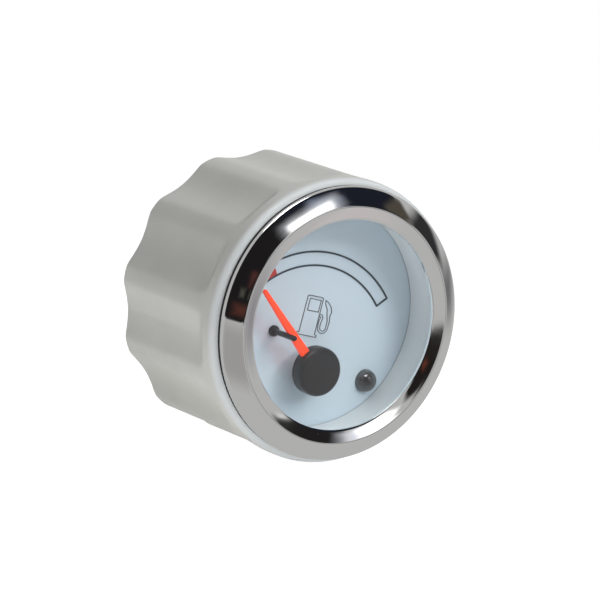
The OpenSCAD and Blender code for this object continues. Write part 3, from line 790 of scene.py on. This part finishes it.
def makeStopPin(s):
    r, top, foot = s["radius"], s["top"], gauge["dialFront"]
    profile = [(pole, foot - s["root"]), (r, foot - s["root"]), (r, foot + 1)]
    profile += [(r, top - 0.35), (r * 0.93, top - 0.12), (r * 0.7, top), (pole, top)]
    piece = turned("stopWire", profile, stopSpot(s), 32, False)
    smooth(piece, 50)
    return piece


def makeCollar(s):
    r, bore, foot = s["collar"], s["collarBore"], gauge["dialFront"]
    profile = [(bore, foot), (r * 0.9, foot)] + arcPoints(0, foot + 0.3, r, -12, 62, 7) + [(bore, foot + 1.3)]
    piece = turned("stopCollarRing", profile, stopSpot(s), 48)
    smooth(piece, 50)
    return piece


finishPiece(makeStopPin(stopPin), plasticBlack, "black_plastic", "gauge", "stop_pin")
finishPiece(makeCollar(stopPin), plasticBlack, "black_plastic", "gauge", "stop_collar")

warningLight = {"centre": (16.485, -11.5), "radius": 2.45, "proud": 2.5, "back": -11.4}


def makeWarningLight(w):
    r, back = w["radius"], w["back"]
    base = gauge["dialFront"] + w["proud"] - r
    profile = [(pole, back), (r, back)] + arcPoints(0, base, r, 0, 84, 15) + [(pole, base + r)]
    piece = turned("warningDome", profile, w["centre"], 64, False)
    smooth(piece, 50)
    return piece


finishPiece(makeWarningLight(warningLight), smokedResin, "smoked_lens", "gauge", "low_fuel_light")
print("pointer, hub, stop and light made")


# Terminals

terminals = {
    "spots": [(-14.5, -4), (14.5, -4), (0, -16)],
    "headFront": -32.4,
    "flangeBack": -37.4,
    "washerBack": -38.0,
    "nutBack": -41.2,
    "tip": -48.0,
    "head": 3.8,                # radii of the stud
    "neck": 2.4,
    "core": 1.6,                # inside the nut
    "thread": 2.0,              # at the free end
    "pitch": 0.7,
    "groove": 0.3,
    "sleeve": 3.0,              # radii of the insulator
    "flange": 5.0,
    "washer": 4.5,
    "clearance": 0.05,
    "acrossFlats": 7.0,
}


def makeStuds(t):
    head, neck, core, thread = t["head"], t["neck"], t["core"], t["thread"]
    root = thread - t["groove"]
    front, floor, step = t["headFront"], gauge["caseFloor"], t["washerBack"] + 0.05
    profile = [(pole, front), (head - 0.2, front), (head, front - 0.2), (head, floor), (neck, floor),
               (neck, step), (core, step), (core, t["nutBack"])]
    z = t["nutBack"]
    while z > t["tip"] + 1.2:
        profile += [(thread, z - 0.1), (thread, z - 0.22), (root, z - 0.5), (root, z - 0.6)]
        z -= t["pitch"]
    end = thread - 0.05
    profile += [(end, z - 0.1), (end, t["tip"] + 0.35), (core, t["tip"]), (pole, t["tip"])]
    piece = turned("terminalStuds", profile, t["spots"][0], 40, False)
    smooth(piece, 30)
    return repeatAt(piece, t["spots"])


def makeInsulators(t):
    bore = t["neck"] + t["clearance"]
    floor, front, back = gauge["caseFloor"], gauge["caseBack"], t["flangeBack"]
    sleeve, flange = t["sleeve"], t["flange"]
    profile = [(bore, floor), (sleeve, floor), (sleeve, front), (flange - 0.1, front), (flange, front - 0.1)]
    profile += arcPoints(flange - 0.4, back + 0.4, 0.4, 0, -90, 5) + [(bore + 0.1, back), (bore, back + 0.1)]
    piece = turned("terminalInsulators", profile, t["spots"][0], 64)
    smooth(piece, 40)
    return repeatAt(piece, t["spots"])


def makeWashers(t):
    bore, rim = t["neck"] + t["clearance"], t["washer"]
    front, back = t["flangeBack"], t["washerBack"]
    profile = [(bore, front), (rim - 0.1, front), (rim, front - 0.12), (rim, back + 0.16), (rim - 0.16, back),
               (bore + 0.08, back), (bore, back + 0.08)]
    piece = turned("terminalWashers", profile, t["spots"][0], 64)
    smooth(piece, 30)
    return repeatAt(piece, t["spots"])


# A hexagonal bar is cut to length, its corners are turned off at both ends and it is bored
def makeHexNuts(t):
    front, back, spot = t["washerBack"], t["nutBack"], t["spots"][0]
    flat = t["acrossFlats"] / 2
    corner = t["acrossFlats"] / math.sqrt(3)
    chamfer = (corner - flat) * 0.62
    face, reach = flat - 0.05, corner + 0.3
    bore = t["core"] + t["clearance"]
    sunk = bore + 0.5
    bar = [(pole, front), (corner, front), (corner, back), (pole, back)]
    blank = [(pole, front), (face, front), (reach, front - chamfer), (reach, back + chamfer), (face, back),
             (pole, back)]
    drill = [(pole, front + 1), (bore, front + 1), (bore, back + 0.3), (sunk, back - 0.2), (sunk, back - 1),
             (pole, back - 1)]
    piece = turned("terminalNuts", bar, (0, 0), 6, False)
    upright = Matrix.Rotation(math.radians(30), 4, "Y")
    piece.data.transform(Matrix.Translation(place(*spot, 0)) @ upright)
    combine(piece, turned("turnedBlank", blank, spot, 64, False), "INTERSECT")
    combine(piece, turned("drill", drill, spot, 48, False), "DIFFERENCE")
    smooth(piece, 30)
    return repeatAt(piece, t["spots"])


finishPiece(makeStuds(terminals), brass, "brass", "gauge", "terminal_studs")
finishPiece(makeInsulators(terminals), plasticBlack, "black_plastic", "gauge", "terminal_insulators")
finishPiece(makeWashers(terminals), brass, "brass", "gauge", "terminal_washers")
finishPiece(makeHexNuts(terminals), brass, "brass", "gauge", "terminal_nuts")
print("terminals made")


# Lamp holder: a flange with a grip, a barrel and two bayonet lugs

lampHolder = {
    "spot": (0, 9.5),
    "flangeRadius": 7.0,
    "flange": 1.4,
    "seatGap": 0.05,
    "barrelRadius": 5.0,
    "barrelFront": -30.0,
    "grip": (10, 2.4, 4),       # length, width and height
    "gripTaper": (0.92, 0.72),  # shares of length and width at the outer end
    "gripEdge": 0.35,
    "lug": (12.8, 2.6, 1),      # length over both lugs, width and height
    "lugMiddle": -33.05,
    "bulbRadius": 2.42,
    "bulbSeat": -34.4,
}


# The grip is sunk a little into the flange and narrows towards its outer end
def makeGrip(h, back):
    x, y = h["spot"]
    length, width, height = h["grip"]
    piece = block("grip", (x, y, back - height / 2 + 0.5), (length, width, height + 1))
    bpy.ops.object.mode_set(mode="EDIT")
    mesh = bmesh.from_edit_mesh(piece.data)
    for v in mesh.verts:
        if -v.co.y / mm < back - 1:
            v.co.x *= h["gripTaper"][0]
            v.co.z = (v.co.z / mm - y) * h["gripTaper"][1] * mm + y * mm
    bmesh.update_edit_mesh(piece.data)
    bpy.ops.object.mode_set(mode="OBJECT")
    bevelEdges(piece, h["gripEdge"] * mm, 3)
    return piece


def makeLampHolder(h):
    front = gauge["caseBack"] - h["seatGap"]
    back = front - h["flange"]
    r, barrel, inside = h["flangeRadius"], h["barrelRadius"], h["barrelFront"]
    profile = [(pole, inside), (barrel - 0.3, inside), (barrel, inside - 0.3), (barrel, front),
               (r - 0.1, front), (r, front - 0.1)]
    profile += arcPoints(r - 0.4, back + 0.4, 0.4, 0, -90, 5)
    profile += [(r - 1.1, back), (r - 1.3, back + 0.25), (r - 1.6, back + 0.25), (r - 1.8, back),
                (pole, back)]
    piece = turned("lampHolderBody", profile, h["spot"], 96, False)
    combine(piece, makeGrip(h, back), "UNION")
    combine(piece, block("lugs", (*h["spot"], h["lugMiddle"]), h["lug"]), "UNION")
    bulb, seat = h["bulbRadius"], h["bulbSeat"]
    bulbHole = [(pole, inside + 2), (bulb, inside + 2), (bulb, seat), (pole, seat)]
    combine(piece, turned("bulbHole", bulbHole, h["spot"], 48, False), "DIFFERENCE")
    smooth(piece, 35)
    return piece


finishPiece(makeLampHolder(lampHolder), plasticBlack, "black_plastic", "lamp", "lamp_holder")
print("lamp holder made")


# Finishes of the construction pieces that stay as they are

keptFinishes = {
    "case": plasticPale, "slip_washer": plasticBlack, "lens_seal": sealGrey, "dial": dialPaint,
    "scale_print": inkDark, "reserve_print": inkRed, "pump_print": inkGrey, "light_guide": guideGlass,
    "light_leads": steel, "spindle": steel, "magnet_rotor": ferrite, "front_bush": brass, "rear_bush": brass,
    "bobbin_front": nylon, "bobbin_rear": nylon, "coil_inner": copper, "coil_outer": copper,
    "shield_can": steel, "pillars": nylon, "board_screws": steel, "circuit_board": boardGreen,
    "driver_chip": plasticBlack, "resistor": resistorTan, "capacitor": sleeveBlue, "lamp_bulb": guideGlass,
}

for name, material in keptFinishes.items():
    for materialSlot in nodes[name].material_slots:
        materialSlot.material = material
print("construction pieces finished")


# Floor, world and lamps

stage = {
    "floorTop": -31.0,
    "floorSize": 6.0,           # metres
    "floorColor": (0.93, 0.93, 0.93),
    "floorSeen": (0.3, 0.3, 0.3),       # its color where the camera sees it and it glows
    "floorGlow": 0.93,
    "mirrored": 0.48,           # strength of the white surroundings in chrome, and as light on the gauge
    "ambient": 0.20,
}


def makeFloor(s):
    clearSelection()
    bpy.ops.mesh.primitive_plane_add(size=s["floorSize"], location=(0, 0, s["floorTop"] * mm))
    floor = bpy.context.object
    floor.name = "paleFloor"
    material, tree, shader = newMaterial("paleFloor", s["floorColor"], 0.9)
    seen = addNode(tree, "ShaderNodeLightPath").outputs["Is Camera Ray"]
    tree.links.new(mixColors(tree, seen, s["floorColor"], s["floorSeen"]), shader.inputs["Base Color"])
    shader.inputs["Emission Color"].default_value = (1, 1, 1, 1)
    tree.links.new(remap(tree, seen, 0, 1, 0, s["floorGlow"]), shader.inputs["Emission Strength"])
    floor.data.materials.append(material)
    floor.visible_shadow = False                # the panel under the table shines through it
    floor.visible_glossy = False                # the world and the cards stand for it in the chrome


# White where the camera sees it, dimmer where chrome mirrors it and dimmer still as light on the gauge
def makeWorld(s):
    world = bpy.data.worlds.new("studio")
    bpy.context.scene.world = world
    world.use_nodes = True
    tree = world.node_tree
    background = tree.nodes["Background"]
    background.inputs["Color"].default_value = (1, 1, 1, 1)
    path = addNode(tree, "ShaderNodeLightPath").outputs
    bounced = addMath(tree, "MAXIMUM", path["Is Glossy Ray"], path["Is Transmission Ray"])
    strength = addNode(tree, "ShaderNodeMix", data_type="FLOAT")        # sockets 2 and 3 are its two numbers
    tree.links.new(path["Is Camera Ray"], strength.inputs["Factor"])
    tree.links.new(remap(tree, bounced, 0, 1, s["ambient"], s["mirrored"]), strength.inputs[2])
    strength.inputs[3].default_value = 1.0
    tree.links.new(strength.outputs[0], background.inputs["Strength"])


# A spot is degrees right of the gauge's front, degrees up and metres away, and a size is width and height
lamps = {
    "keyBox": {"spot": (8, 36, 1.0), "size": (0.40, 0.40), "power": 3.3},
    "leftPanel": {"spot": (-50, 50, 1.0), "size": (0.5, 0.5), "power": 1.0},
    "topPanel": {"spot": (50, 68, 1.0), "size": (0.6, 0.6), "power": 4.9},
    "tablePanel": {"spot": (-42, -66, 0.8), "size": (0.7, 0.7), "power": 3.5},
    # lights only glossy reflections; placed for a highlight on the warning light and the hub cap
    "glintPanel": {"spot": (-52, 60, 1.0), "size": (0.60, 0.50), "power": 5, "glossOnly": True},
}


def makeLamp(name, lamp):
    spot = studioSpot(*lamp["spot"])
    glossOnly = lamp.get("glossOnly", False)
    bpy.ops.object.light_add(type="AREA", location=spot)
    light = bpy.context.object
    light.name = name
    light.data.shape = "RECTANGLE"
    light.data.size, light.data.size_y = lamp["size"]
    light.data.energy = lamp["power"]
    light.visible_diffuse = not glossOnly
    light.visible_glossy = glossOnly
    light.rotation_mode = "QUATERNION"
    light.rotation_quaternion = spot.to_track_quat("Z", "Y")


# Soft-edged cards round the gauge, which only the chrome, the lens and other glossy pieces mirror.
# soft is how far the edge fades in, cloud how ragged that edge is, and turn its degrees about its own middle
cards = {
    "keyCore": {"spot": (5, 38.5, 0.98), "size": (0.56, 0.24), "turn": 30, "soft": 0.25,
                "color": (1, 1, 1), "strength": 3},
    "keyGlow": {"spot": (6, 39, 1.0), "size": (0.84, 0.42), "turn": 30, "soft": 0.4, "cloud": 0.15,
                "color": (0.92, 0.95, 1), "strength": 0.9},
    "hazeGlow": {"spot": (14, 46, 1.05), "size": (0.52, 0.34), "soft": 0.5, "cloud": 0.2,
                 "color": (0.26, 0.31, 0.42)},
    "lowCore": {"spot": (19, 16.5, 0.97), "size": (0.27, 0.20), "soft": 0.35,
                "color": (1, 1, 1), "strength": 2.4},
    "lowGlow": {"spot": (22.5, 17.5, 0.98), "size": (0.42, 0.22), "soft": 0.4, "cloud": 0.08,
                "color": (0.82, 0.85, 0.93)},
    "windowGlow": {"spot": (52, 17, 1.1), "size": (0.06, 0.16), "soft": 0.3,
                   "color": (1, 1, 1), "strength": 0.7},
    "rustCard": {"spot": (-26, -7, 1.2), "size": (0.40, 0.22), "soft": 0.5, "cloud": 0.15,
                 "color": (0.085, 0.030, 0.022)},
    "maroonCard": {"spot": (-21, 8, 1.2), "size": (0.30, 0.26), "soft": 0.5, "cloud": 0.15,
                   "color": (0.12, 0.040, 0.034)},
    "oliveCard": {"spot": (-28, 1, 1.2), "size": (0.12, 0.16), "soft": 0.5, "cloud": 0.15,
                  "color": (0.075, 0.075, 0.060)},
    "darkCard": {"spot": (-30, 14, 1.3), "size": (1.15, 1.38), "soft": 0.02, "color": (0.012, 0.011, 0.012)},
    "highCard": {"spot": (14, 44, 1.35), "size": (2.5, 1.05), "soft": 0.05, "color": (0.012, 0.014, 0.022)},
    "roomCard": {"spot": (65, 34, 1.25), "size": (0.36, 0.44), "soft": 0.2, "cloud": 0.1,
                 "color": (0.075, 0.065, 0.052)},
    "wallCard": {"spot": (80, 24, 1.3), "size": (0.50, 0.60), "soft": 0.25, "cloud": 0.1,
                 "color": (0.03, 0.03, 0.032)},
    "rightCard": {"spot": (92, 8, 1.33), "size": (0.54, 0.56), "soft": 0.45, "color": (0.16, 0.16, 0.165)},
    "tableGlow": {"spot": (50, -26, 1.3), "size": (1.1, 0.42), "soft": 0.4, "color": (0.56, 0.53, 0.53)},
    "emberCard": {"spot": (3, 2, 1.05), "size": (0.18, 0.09), "soft": 0.5, "cloud": 0.15,
                  "color": (0.14, 0.040, 0.026)},
    "lowCard": {"spot": (-3, 1.5, 1.1), "size": (0.64, 0.44), "soft": 0.10, "color": (0.014, 0.012, 0.011)},
    "shelfCard": {"spot": (40, 18, 1.2), "size": (0.56, 0.30), "soft": 0.15, "cloud": 0.1,
                  "color": (0.016, 0.015, 0.015)},
    "leftShade": {"spot": (-20, -28, 1.42), "size": (1.3, 1.0), "soft": 0.3, "color": (0.35, 0.345, 0.345)},
    "innerShade": {"spot": (67, -3, 1.4), "size": (0.44, 0.64), "soft": 0.5, "color": (0.27, 0.26, 0.275)},
    "lensCard": {"spot": (35.3, -3.9, 1.3), "size": (0.24, 0.22), "soft": 0.2, "color": (0.03, 0.033, 0.037)},
}


# How much of a card is left at a point: nothing at its edges, which fade softly or raggedly
def cardCover(tree, card):
    across = addMath(tree, "PINGPONG", addAxis(tree, "X", "UV"), 0.5)
    along = addMath(tree, "PINGPONG", addAxis(tree, "Y", "UV"), 0.5)
    nearest = addNode(tree, "ShaderNodeMath", operation="SMOOTH_MIN")
    nearest.inputs[2].default_value = 0.1
    tree.links.new(across, nearest.inputs[0])
    tree.links.new(along, nearest.inputs[1])
    reach = nearest.outputs["Value"]
    if "cloud" in card:
        ragged = remap(tree, addNoise(tree, 3.2, 4), 0.3, 0.7, -card["cloud"] * 0.25, card["cloud"] * 0.1)
        reach = addMath(tree, "ADD", reach, ragged)
    fade = addNode(tree, "ShaderNodeMapRange", interpolation_type="SMOOTHSTEP")
    fade.inputs["From Min"].default_value = 0.02
    fade.inputs["From Max"].default_value = card["soft"] + 0.02
    tree.links.new(reach, fade.inputs["Value"])
    return fade.outputs["Result"]


def makeCardMaterial(name, card):
    material = bpy.data.materials.new(name)
    material.use_nodes = True
    tree = material.node_tree
    tree.nodes.clear()
    glow = addNode(tree, "ShaderNodeEmission")
    glow.inputs["Color"].default_value = (*card["color"], 1)
    glow.inputs["Strength"].default_value = card.get("strength", 1)
    clear = addNode(tree, "ShaderNodeBsdfTransparent")
    # light that has left a dull surface passes the card, so the cards don't light the dial
    mirrored = addMath(tree, "LESS_THAN", addNode(tree, "ShaderNodeLightPath").outputs["Diffuse Depth"], 0.5)
    cover = addMath(tree, "MULTIPLY", cardCover(tree, card), mirrored)
    output = addNode(tree, "ShaderNodeOutputMaterial")
    mixShaders(tree, cover, clear.outputs["BSDF"], glow.outputs["Emission"], output)
    return material


def makeCard(name, card):
    spot = studioSpot(*card["spot"])
    turn = Quaternion((0, 0, 1), math.radians(card.get("turn", 0)))
    clearSelection()
    bpy.ops.mesh.primitive_plane_add(size=1, location=spot)
    piece = bpy.context.object
    piece.name = name
    piece.scale = (*card["size"], 1)
    piece.rotation_mode = "QUATERNION"
    piece.rotation_quaternion = spot.to_track_quat("Z", "Y") @ turn
    piece.data.materials.append(makeCardMaterial(name, card))
    piece.visible_camera = False
    piece.visible_diffuse = False
    piece.visible_shadow = False


makeFloor(stage)
makeWorld(stage)
for lampName, lampSettings in lamps.items():
    makeLamp(lampName, lampSettings)
for cardName, cardSettings in cards.items():
    makeCard(cardName, cardSettings)
bpy.context.scene.view_settings.view_transform = "Standard"
print("stage and light made")
